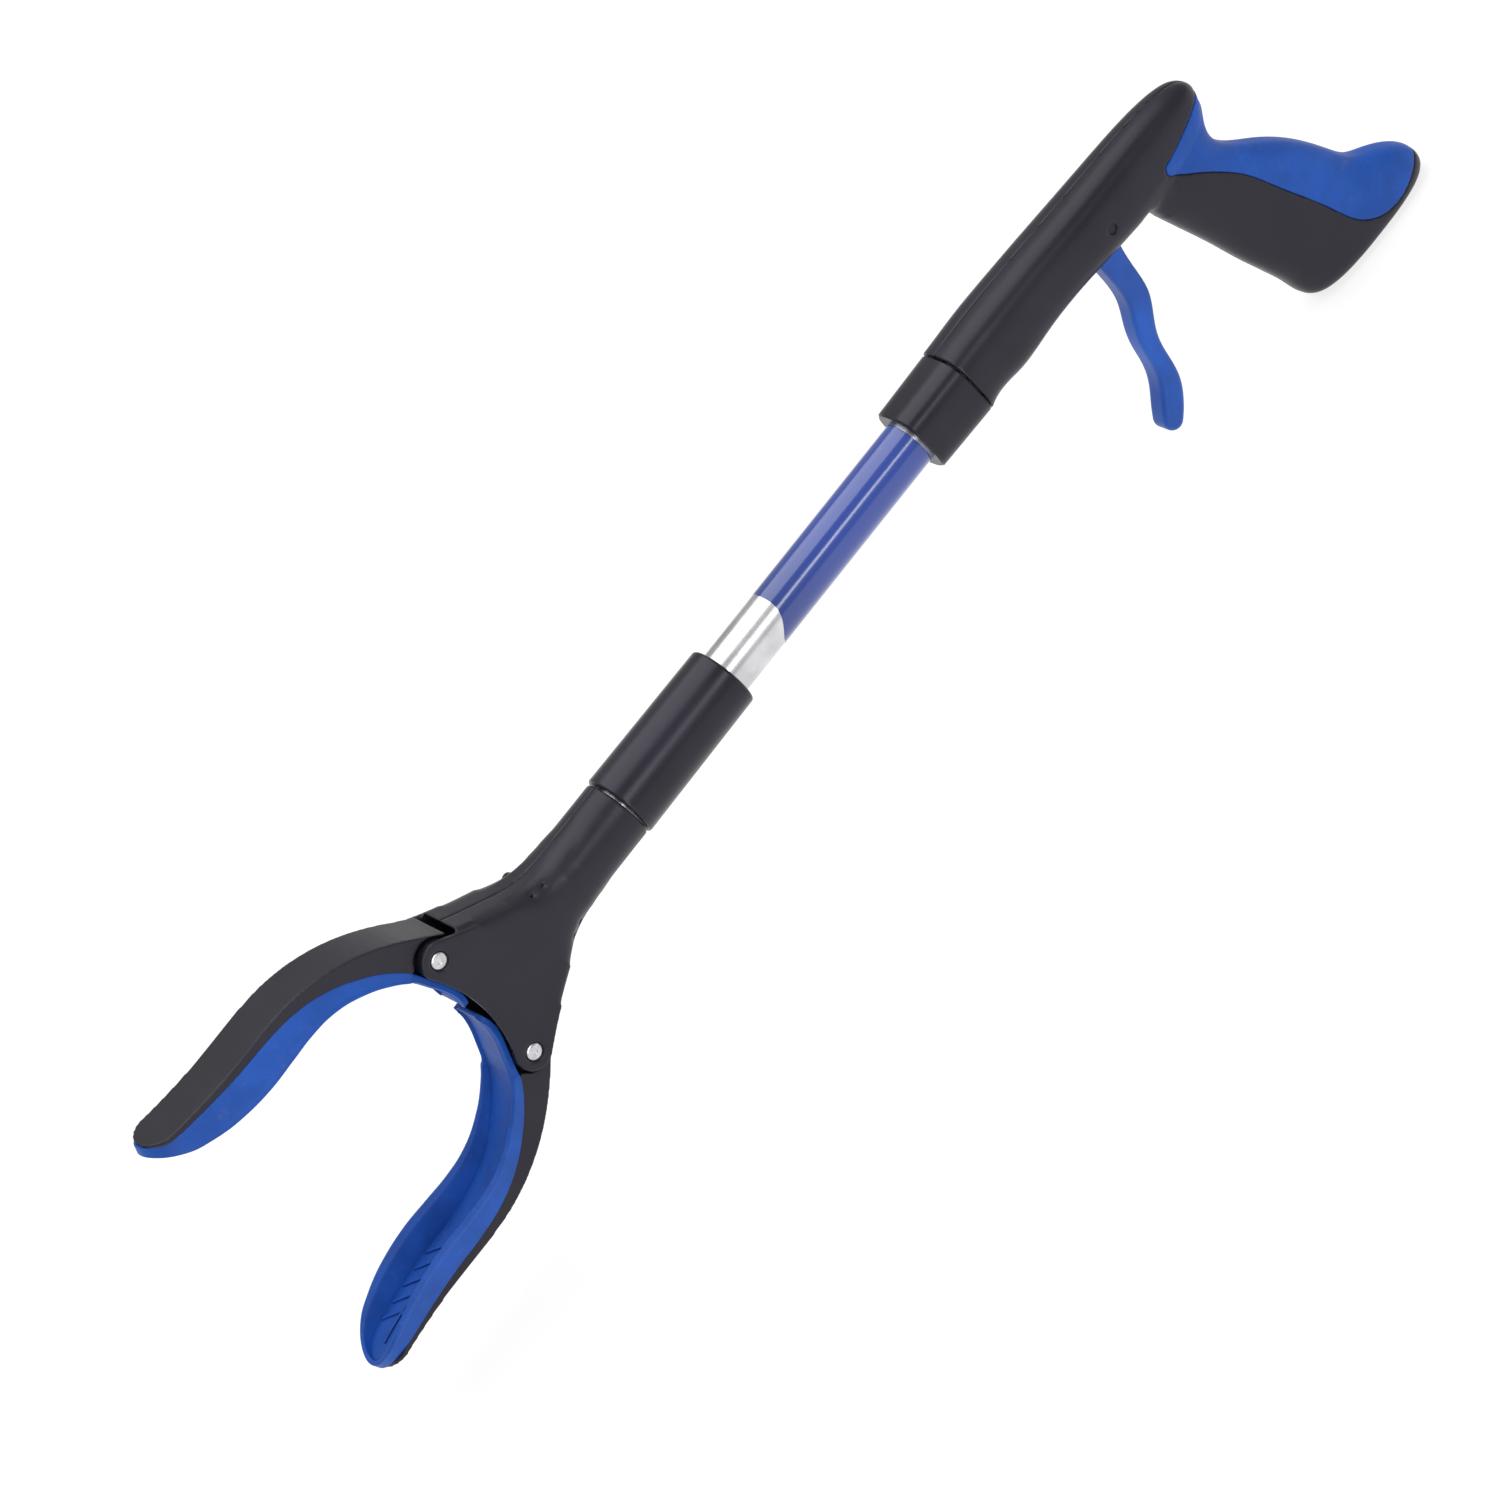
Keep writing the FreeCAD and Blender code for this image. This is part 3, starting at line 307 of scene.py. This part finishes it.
def merged_copy(name, node_name):
    """A free copy of a CAD node, with its loose triangles joined."""
    piece = bpy.data.objects.new(name, NODES[node_name].data.copy())
    bpy.context.scene.collection.objects.link(piece)
    pick(piece)
    bpy.ops.object.mode_set(mode="EDIT")
    bpy.ops.mesh.select_all(action="SELECT")
    bpy.ops.mesh.remove_doubles(threshold=1e-6)
    bpy.ops.object.mode_set(mode="OBJECT")
    return piece


def softened(name, grain, rounds, node_name):
    """A moulding with its sharp edges rounded: the CAD shape, evened out and relaxed."""
    piece = merged_copy(name, node_name)
    apply_modifier(piece, "REMESH", mode="VOXEL", voxel_size=grain, adaptivity=0.0, use_smooth_shade=True)
    apply_modifier(piece, "SMOOTH", factor=0.5, iterations=rounds)
    bpy.ops.object.shade_smooth()
    return piece


def blend_zone(piece, rounds, inside):
    """Relaxes the part of a moulding where two forms run into each other."""
    select_points(piece, inside)
    bpy.ops.mesh.vertices_smooth(factor=0.5, repeat=rounds)
    bpy.ops.object.mode_set(mode="OBJECT")
    return piece


def finish_piece(piece, material, body, slot, *stands_for):
    """Gives a modelled piece its material and puts it on its body in place of CAD nodes."""
    piece.data.materials.clear()
    piece.data.materials.append(material)
    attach(piece, body)
    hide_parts(*stands_for)
    return piece


def dress(material, *node_names):
    """Gives CAD nodes, kept as they are, their material."""
    for node_name in node_names:
        NODES[node_name].data.materials.clear()
        NODES[node_name].data.materials.append(material)


def in_crotch(co):
    """Where the grip leaves the barrel, clear of the parting line."""
    return -0.027 < co.x < -0.004 and -0.030 < co.z < -0.010 and abs(co.y) > 0.001


def in_neck(co):
    """Where the head's round neck becomes plates, clear of the parting line."""
    return -0.482 < co.x < -0.430 and abs(co.y) > 0.0035


def at_plate_start(co):
    """Corners from which the head's plates grow."""
    return -0.466 < co.x < -0.438 and abs(co.y) > 0.009


def sizes():
    return bpy.context.scene.reacher_sizes


def colours():
    return bpy.context.scene.reacher_colours


# ---- cup of a jaw -----------------------------------------------------------------------------------
# The cup is swept along a straight strip (X along the jaw, Y up its walls, Z across) and then bent.
CUP_PATH = ((-509.8, 3.8), (-508.7, 10.7), (-509.8, 18.1), (-513.6, 28.4), (-518.6, 40.2), (-526.0, 50.2),
            (-536.0, 59.6), (-552.0, 70.0), (-568.0, 75.6), (-585.0, 77.8), (-600.0, 78.2), (-616.0, 79.4),
            (-631.0, 81.2), (-644.0, 83.2), (-656.0, 86.4), (-667.0, 90.6))
SAME_PLACE = 1e-5                   # metres within which two points count as level
CUP_HALF_WIDTH = 14.4
CUP_FLARE = 0.235                   # how far a wall leans out for each millimetre that it rises
CUP_SINK = 0.6                      # depth by which the cup's underside sits in the jaw
TONGUE_END = 36.5
BOW_START = 172.0
BOW_END = 192.3
# along the strip: distance, share of the half width, wall height
CUP_ROWS = ((0.0, 0.66, 2.9), (1.4, 0.84, 3.0), (4.2, 0.905, 3.1), (14.0, 0.905, 3.1), (26.0, 0.905, 2.9),
            (TONGUE_END, 0.905, 3.3), (37.2, 1.0, 4.6), (42.0, 1.0, 5.1), (50.0, 1.0, 6.1), (58.0, 1.0, 7.0),
            (66.0, 1.0, 7.9), (74.0, 1.0, 9.0), (82.0, 1.0, 10.2), (90.0, 1.0, 11.6), (98.0, 1.0, 12.9),
            (106.0, 1.0, 14.1), (114.0, 1.0, 15.0), (122.0, 1.0, 15.7), (130.0, 1.0, 15.9),
            (138.0, 1.0, 15.9), (146.0, 1.0, 15.5), (154.0, 1.0, 14.8), (160.0, 1.0, 13.9),
            (166.0, 1.0, 12.6), (BOW_START, 1.0, 11.2))
BOW_STEPS = (0.18, 0.36, 0.52, 0.66, 0.78, 0.87, 0.94, 0.98, 1.0)
WALL_SHARES = (0.08, 0.4, 0.7, 0.78, 0.82, 1.0)     # heights of the lines that run along a wall
LIP_FROM = 4                        # lines past this one stand out as the lip
LIP_STEP = 0.05
FLOOR_COLUMNS = 6                   # from the middle of the floor to its corner
BOW_DROP = 6.6
FIRST_RIB = 136.0
RIB_PITCH = 9.0
RIB_LENGTH = 21.0
RIB_TRAIL = 8.0
SPINE_START = 126.0


def select_points(piece, chosen):
    """In edit mode, selects the points whose place passes a test."""
    bpy.ops.object.mode_set(mode="OBJECT")
    bpy.context.tool_settings.mesh_select_mode = (True, False, False)
    mesh = piece.data
    mesh.polygons.foreach_set("select", [False] * len(mesh.polygons))
    mesh.edges.foreach_set("select", [False] * len(mesh.edges))
    mesh.vertices.foreach_set("select", [chosen(point.co) for point in mesh.vertices])
    bpy.ops.object.mode_set(mode="EDIT")


def select_faces(piece, chosen):
    """In edit mode, selects the faces that pass a test."""
    bpy.ops.object.mode_set(mode="OBJECT")
    bpy.context.tool_settings.mesh_select_mode = (False, False, True)
    bpy.ops.object.mode_set(mode="EDIT")
    bpy.ops.mesh.select_all(action="DESELECT")
    bpy.ops.object.mode_set(mode="OBJECT")
    for face in piece.data.polygons:
        face.select = chosen(face)
    bpy.ops.object.mode_set(mode="EDIT")


def outward_normals(piece):
    pick(piece)
    bpy.ops.object.mode_set(mode="EDIT")
    bpy.ops.mesh.select_all(action="SELECT")
    bpy.ops.mesh.normals_make_consistent(inside=False)
    bpy.ops.object.mode_set(mode="OBJECT")


def apply_placing(piece, **placing):
    """Gives the object a place, turn or size and writes it into its mesh."""
    for key, value in placing.items():
        setattr(piece, key, value)
    pick(piece)
    bpy.ops.object.transform_apply(location=True, rotation=True, scale=True)


def cup_rows():
    """The chosen rows, carried on round the bow by an ellipse."""
    rows = list(CUP_ROWS)
    start_height = rows[-1][2]
    for step in BOW_STEPS:
        share = max(math.sqrt(1.0 - step * step), 0.0005)
        rows.append((BOW_START + (BOW_END - BOW_START) * step, share, start_height - BOW_DROP * step))
    return rows


def swept_strip():
    """Floor and walls of the cup as one sheet, drawn out row by row from its root to its closed bow."""
    clear_selection()
    spacing = CUP_HALF_WIDTH / FLOOR_COLUMNS
    half_columns = FLOOR_COLUMNS + len(WALL_SHARES)
    bpy.ops.mesh.primitive_grid_add(x_subdivisions=1, y_subdivisions=2 * half_columns, size=2.0)
    piece = bpy.context.object
    rows = cup_rows()
    first, second = rows[0], rows[1]
    apply_placing(piece, rotation_euler=(math.radians(90), 0, 0))
    half_step = (second[0] - first[0]) / 2
    apply_placing(piece, scale=(half_step * MM, 1.0, half_columns * spacing * MM),
                  location=(half_step * MM, 0, 0))
    bpy.ops.object.mode_set(mode="EDIT")
    for number, share in enumerate(WALL_SHARES, 1):
        flat = (FLOOR_COLUMNS + number) * spacing
        rise = first[2] * share
        lip = LIP_STEP * first[2] if number > LIP_FROM else 0.0
        folded = CUP_HALF_WIDTH + CUP_FLARE * rise + lip
        select_points(piece, lambda co: abs(abs(co.z) - flat * MM) < SAME_PLACE)
        bpy.ops.transform.resize(value=(1, 1, folded / flat), center_override=(0, 0, 0))
        bpy.ops.transform.translate(value=(0, rise * MM, 0))
    place, width, height, ground = first[0], 1.0, first[2], 0.0
    for number, (next_place, next_width, next_height) in enumerate(rows):
        if number == 1:
            width, height = 1.0, first[2]      # the grid's second line, not yet shaped
        elif number > 1:
            select_points(piece, lambda co: abs(co.x - place * MM) < SAME_PLACE)
            move = ((next_place - place) * MM, 0, 0)
            bpy.ops.mesh.extrude_region_move(TRANSFORM_OT_translate={"value": move})
        here = next_place * MM
        corner = CUP_HALF_WIDTH * width
        if abs(next_height - height) > 1e-6:
            for side in (1, -1):
                edge = (corner - 0.05) * MM
                select_points(piece, lambda co: abs(co.x - here) < SAME_PLACE and co.z * side > edge)
                taller = next_height / height
                bpy.ops.transform.resize(value=(1, taller, taller),
                                         center_override=(here, ground, side * corner * MM))
        select_points(piece, lambda co: abs(co.x - here) < SAME_PLACE)
        if abs(next_width - width) > 1e-6:
            bpy.ops.transform.resize(value=(1, 1, next_width / width), center_override=(here, 0, 0))
        if number and rows[number - 1][0] == TONGUE_END:
            bpy.ops.transform.translate(value=(0, -CUP_SINK * MM, 0))
            ground = -CUP_SINK * MM
        place, width, height = next_place, next_width, next_height
    bpy.ops.mesh.select_all(action="SELECT")
    bpy.ops.mesh.remove_doubles(threshold=2e-5)
    bpy.ops.mesh.normals_make_consistent(inside=False)
    bpy.ops.object.mode_set(mode="OBJECT")
    return piece


def cup_rib(place):
    """One V-shaped rib on the cup's floor, its arms trailing towards the tip."""
    clear_selection()
    bpy.ops.mesh.primitive_cube_add(size=1.0)
    rib = bpy.context.object
    top = sizes().cup_wall - CUP_SINK * MM + sizes().rib_height
    apply_placing(rib, scale=(1.9 * MM, 2.2 * MM, RIB_LENGTH * MM), location=(place * MM, top - 1.1 * MM, 0))
    bpy.ops.object.mode_set(mode="EDIT")
    bpy.ops.mesh.select_all(action="SELECT")
    bpy.ops.mesh.subdivide(number_cuts=3)
    for across, back in ((0.0, RIB_TRAIL), (RIB_LENGTH / 4, RIB_TRAIL / 2)):
        select_points(rib, lambda co: abs(abs(co.z) - across * MM) < SAME_PLACE)
        bpy.ops.transform.translate(value=(-back * MM, 0, 0))
    bpy.ops.object.mode_set(mode="OBJECT")
    return apply_modifier(rib, "BEVEL", width=0.55 * MM, segments=2, limit_method="ANGLE")


def cup_spine(start, end):
    """Low ridge along the middle of the ribs."""
    clear_selection()
    bpy.ops.mesh.primitive_cube_add(size=1.0)
    ridge = bpy.context.object
    top = sizes().cup_wall - CUP_SINK * MM + sizes().rib_height * 0.8
    apply_placing(ridge, scale=((end - start) * MM, 2.0 * MM, 1.7 * MM),
                  location=((start + end) / 2 * MM, top - 1.0 * MM, 0))
    bpy.ops.object.mode_set(mode="EDIT")
    bpy.ops.mesh.select_all(action="SELECT")
    bpy.ops.mesh.subdivide(number_cuts=6)
    bpy.ops.object.mode_set(mode="OBJECT")
    return apply_modifier(ridge, "BEVEL", width=0.5 * MM, segments=2, limit_method="ANGLE")


def cup_curve():
    """The line along which the cup bends, drawn in the XY plane."""
    clear_selection()
    bpy.ops.curve.primitive_bezier_curve_add()
    path = bpy.context.object
    path.data.dimensions = "2D"
    path.data.resolution_u = 32
    points = path.data.splines[0].bezier_points
    points.add(len(CUP_PATH) - len(points))
    for point, (x, z) in zip(points, CUP_PATH):
        point.co = (x * MM, z * MM, 0)
        point.handle_left_type = "AUTO"
        point.handle_right_type = "AUTO"
    return path


def upper_cup():
    """The sheet thickened, ribbed and bent along the jaw."""
    cup = swept_strip()
    apply_modifier(cup, "SOLIDIFY", thickness=sizes().cup_wall, offset=-1.0, use_even_offset=True)
    outward_normals(cup)
    apply_modifier(cup, "SUBSURF", levels=2, render_levels=2)
    count = sizes().rib_count
    ribs = [cup_rib(FIRST_RIB + RIB_PITCH * number) for number in range(count)]
    if count:
        ribs.append(cup_spine(SPINE_START, FIRST_RIB + RIB_PITCH * count))
    pick(cup)
    for rib in ribs:
        rib.select_set(True)
    bpy.ops.object.join()
    path = cup_curve()
    apply_modifier(cup, "CURVE", object=path, deform_axis="POS_X")
    bpy.data.objects.remove(path)
    apply_placing(cup, rotation_euler=(math.radians(90), 0, 0))
    bpy.ops.object.shade_smooth_by_angle(angle=math.radians(40))
    return cup


def mirrored_copy(piece, name):
    """A copy with its own mesh, turned over to the other side of the shaft."""
    copy = bpy.data.objects.new(name, piece.data.copy())
    bpy.context.scene.collection.objects.link(copy)
    apply_placing(copy, scale=(1, 1, -1))
    outward_normals(copy)
    return copy


def jaw_rivet(name, height):
    """A rivet with a domed and dimpled head at each end."""
    clear_selection()
    bpy.ops.mesh.primitive_cylinder_add(vertices=64, radius=RIVET_HEAD, depth=2 * RIVET_FACE,
                                        end_fill_type="NGON")
    rivet = bpy.context.object
    rivet.name = name
    apply_placing(rivet, rotation_euler=(math.radians(90), 0, 0), location=(PIVOT_X, 0, height))
    for side in (1, -1):
        select_faces(rivet, lambda face: face.normal.y * side > 0.9)
        for inset, lift in RIVET_DOME:
            bpy.ops.mesh.inset(thickness=inset * MM, depth=0)
            bpy.ops.transform.translate(value=(0, side * lift * MM, 0))
    bpy.ops.object.mode_set(mode="OBJECT")
    bpy.ops.object.shade_smooth_by_angle(angle=math.radians(50))
    return rivet


# ---- operators --------------------------------------------------------------------------------------
class REACHER_OT_handle(bpy.types.Operator):
    """Two moulded halves of the handle and their soft pad"""
    bl_idname = "reacher.handle"
    bl_label = "Handle"

    def execute(self, context):
        black = moulded_plastic("handle_moulding", colours().shell, 0.36)
        for side in ("left", "right"):
            node = "handle_shell_" + side
            piece = softened("handle_half_" + side, sizes().shell_grain, 5, node)
            blend_zone(piece, 60, in_crotch)
            finish_piece(piece, black, "frame", "handle_plastic", node)
        rubber = soft_rubber("grip_rubber", colours().rubber, 0.5)
        pad = softened("soft_grip", sizes().fine_grain, 4, "grip_pad")
        finish_piece(pad, rubber, "frame", "grip_rubber", "grip_pad")
        return {"FINISHED"}


class REACHER_OT_trigger(bpy.types.Operator):
    """Blue trigger with its inner lever"""
    bl_idname = "reacher.trigger"
    bl_label = "Trigger"

    def execute(self, context):
        blue = moulded_plastic("trigger_moulding", colours().trigger, 0.42)
        piece = softened("trigger_blade", sizes().fine_grain, 4, "trigger")
        finish_piece(piece, blue, "trigger", "trigger_plastic", "trigger")
        return {"FINISHED"}


class REACHER_OT_shaft(bpy.types.Operator):
    """Bright tube, its plain label, the collar and the sleeve"""
    bl_idname = "reacher.shaft"
    bl_label = "Shaft"

    def execute(self, context):
        dress(drawn_aluminium("bright_tube"), "shaft_tube")
        dress(label_film("label_film", colours().label), "tube_label")
        satin = moulded_plastic("collar_moulding", colours().shell, 0.3, 0.5, 0.012)
        dress(satin, "handle_collar", "head_sleeve")
        return {"FINISHED"}


class REACHER_OT_head(bpy.types.Operator):
    """Two halves of the head that holds the jaws"""
    bl_idname = "reacher.head"
    bl_label = "Head"

    def execute(self, context):
        satin = moulded_plastic("head_moulding", colours().shell, 0.38)
        for side in ("left", "right"):
            node = "head_shell_" + side
            piece = softened("head_half_" + side, sizes().shell_grain, 8, node)
            blend_zone(piece, 60, in_neck)
            blend_zone(piece, 200, at_plate_start)
            finish_piece(piece, satin, "frame", "head_plastic", node)
        return {"FINISHED"}


class REACHER_OT_jaws(bpy.types.Operator):
    """Black jaws with their arms"""
    bl_idname = "reacher.jaws"
    bl_label = "Jaws"

    def execute(self, context):
        black = moulded_plastic("jaw_moulding", colours().jaw, 0.4)
        for side in SIDES:
            node = side + "_jaw_shell"
            piece = softened(side + "_jaw_back", sizes().fine_grain, 10, node)
            finish_piece(piece, black, side + "_jaw", "jaw_plastic", node)
        return {"FINISHED"}


class REACHER_OT_cups(bpy.types.Operator):
    """Soft cups that line the jaws"""
    bl_idname = "reacher.cups"
    bl_label = "Cups"

    def execute(self, context):
        rubber = soft_rubber("cup_rubber", colours().rubber, 0.46)
        upper = upper_cup()
        upper.name = "upper_cup"
        lower = mirrored_copy(upper, "lower_cup")
        finish_piece(upper, rubber, "upper_jaw", "pad_rubber", "upper_jaw_pad")
        finish_piece(lower, rubber, "lower_jaw", "pad_rubber", "lower_jaw_pad")
        return {"FINISHED"}


class REACHER_OT_fittings(bpy.types.Operator):
    """Rivets, screws, pins, bushes, rod and spring"""
    bl_idname = "reacher.fittings"
    bl_label = "Fittings"

    def execute(self, context):
        bright = plated_steel("bright_rivet", (0.56, 0.56, 0.58), 0.27)
        for side, height in zip(SIDES, (PIVOT_Z, -PIVOT_Z)):
            rivet = jaw_rivet(side + "_rivet", height)
            finish_piece(rivet, bright, "frame", "pin_steel", side + "_jaw_rivet")
        blackened = plated_steel("blackened_screw", (0.05, 0.05, 0.055), 0.35)
        dress(blackened, "handle_screws", "head_screws")
        dress(moulded_plastic("pin_cap", colours().shell, 0.4), "trigger_pivot_pin")
        dress(plated_steel("plated_pin"), "tube_pins_handle", "tube_pins_head", "yoke_pin", "yoke_cross_pin",
              "crosshead_cross_pin", "spring_washer", "upper_jaw_cam_pin", "lower_jaw_cam_pin", "push_rod")
        spring = merged_copy("coil_spring", "return_spring")
        bpy.ops.object.shade_smooth()
        wire = plated_steel("spring_wire", (0.5, 0.5, 0.52), 0.3)
        finish_piece(spring, wire, "frame", "pin_steel", "return_spring")
        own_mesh(spring)
        natural = moulded_plastic("natural_moulding", (0.62, 0.61, 0.56), 0.45)
        dress(natural, "rod_guide_handle", "rod_guide_head", "trigger_bush", "rod_yoke", "crosshead",
              "upper_jaw_bush", "lower_jaw_bush")
        return {"FINISHED"}


class REACHER_OT_stage(bpy.types.Operator):
    """Pale floor, soft lights and the camera"""
    bl_idname = "reacher.stage"
    bl_label = "Stage"

    def execute(self, context):
        scene = context.scene
        clear_selection()
        floor_z = CAD_BOX[0][2] - FLOOR_GAP
        bpy.ops.mesh.primitive_grid_add(x_subdivisions=4, y_subdivisions=4, size=14.0,
                                        location=(0, 0, floor_z))
        floor = bpy.context.object
        floor.name = "studio_floor"
        pale = Recipe("studio_floor")
        pale.set(Base_Color=(0.3, 0.3, 0.3), Roughness=0.9, Specular_IOR_Level=0.1)
        pale.set(Emission_Color=(1.0, 1.0, 1.0), Emission_Strength=0.76)
        floor.data.materials.append(pale.material)

        world = bpy.data.worlds.new("studio")
        scene.world = world
        world.use_nodes = True
        world.node_tree.nodes["Background"].inputs["Color"].default_value = (1.0, 1.0, 1.0, 1.0)
        world.node_tree.nodes["Background"].inputs["Strength"].default_value = 0.5

        data = bpy.data.cameras.new("camera")
        data.sensor_width = 36.0
        data.lens = 225.3
        data.clip_end = 60.0
        camera = bpy.data.objects.new("camera", data)
        scene.collection.objects.link(camera)
        turned = Matrix((VIEW_RIGHT, VIEW_UP, VIEW_TOWARDS)).transposed().to_4x4()
        camera.matrix_world = Matrix.Translation(VIEW_TARGET + VIEW_TOWARDS * VIEW_DISTANCE) @ turned
        scene.camera = camera

        side = (VIEW_RIGHT - VIEW_UP).normalized()
        self.lamp(scene, "key", VIEW_TOWARDS * 1.9 + side * 0.32, (2.2, 0.34), 15.0)
        self.lamp(scene, "fill", side * 1.7 + VIEW_TOWARDS * 1.2, (1.6, 1.2), 9.0)
        self.lamp(scene, "top", Vector((0.1, 0.4, 2.2)), (2.6, 2.6), 46.0)
        scene.view_settings.view_transform = "Standard"
        return {"FINISHED"}

    def lamp(self, scene, name, offset, size, power):
        """A rectangular lamp that faces the camera's target, its long side along the shaft."""
        data = bpy.data.lights.new(name, "AREA")
        data.shape = "RECTANGLE"
        data.size, data.size_y = size
        data.energy = power
        lamp = bpy.data.objects.new(name, data)
        back = offset.normalized()
        along = Vector((0, 1, 0)).cross(back).normalized()
        turned = Matrix((along, back.cross(along), back)).transposed().to_4x4()
        lamp.matrix_world = Matrix.Translation(VIEW_TARGET + offset) @ turned
        scene.collection.objects.link(lamp)


OPERATORS = (REACHER_OT_stage, REACHER_OT_handle, REACHER_OT_trigger, REACHER_OT_shaft, REACHER_OT_head,
             REACHER_OT_jaws, REACHER_OT_cups, REACHER_OT_fittings)


class REACHER_PT_panel(bpy.types.Panel):
    """Lists the builders in the order in which they run"""
    bl_idname = "REACHER_PT_panel"
    bl_label = "Reacher grabber"
    bl_space_type = "VIEW_3D"
    bl_region_type = "UI"
    bl_category = "Reacher"

    def draw(self, context):
        for group in (context.scene.reacher_sizes, context.scene.reacher_colours):
            for key in group.__annotations__:
                self.layout.prop(group, key)
        for operator in OPERATORS:
            self.layout.operator(operator.bl_idname)


CLASSES = (ReacherSizes, ReacherColours, *OPERATORS, REACHER_PT_panel)


def register():
    for item in CLASSES:
        bpy.utils.register_class(item)
    bpy.types.Scene.reacher_sizes = PointerProperty(type=ReacherSizes)
    bpy.types.Scene.reacher_colours = PointerProperty(type=ReacherColours)


def unregister():
    del bpy.types.Scene.reacher_sizes
    del bpy.types.Scene.reacher_colours
    for item in reversed(CLASSES):
        bpy.utils.unregister_class(item)


def main():
    register()
    for operator in OPERATORS:
        group, name = operator.bl_idname.split(".")
        getattr(getattr(bpy.ops, group), name)()
    clear_selection()


if __name__ == "__main__":
    main()
